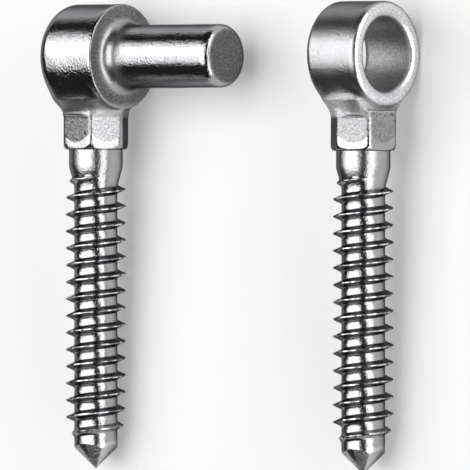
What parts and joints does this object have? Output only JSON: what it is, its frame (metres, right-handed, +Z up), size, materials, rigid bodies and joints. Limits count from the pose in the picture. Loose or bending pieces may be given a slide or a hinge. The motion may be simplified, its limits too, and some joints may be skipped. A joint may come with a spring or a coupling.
{
  "type": "hook and eye gate hinge",
  "caption": "Screw-in gate hinge: a forged hook screw with a round pin and a matching eye screw, each with a six-sided collar and a coarse wood thread.",
  "frame": {"origin": "on the surface the two screws lie on, under the middle of the set's box", "axes": "+X along the hook's pin, towards the eye; +Y from the screws' points towards their heads; +Z up from the surface"},
  "size_m": [0.1048, 0.1172, 0.0266],
  "materials": {
    "zinc_steel": "bright zinc plating on forged steel"
  },
  "bodies": {
    "hook": {"hook": "zinc_steel"},
    "eye": {"eye": "zinc_steel"}
  },
  "joints": [
    {"name": "eye_slide", "type": "slide", "parent": "hook", "child": "eye", "axis": [1, 0, 0], "range_m": [-0.06965, 0]}
  ]
}
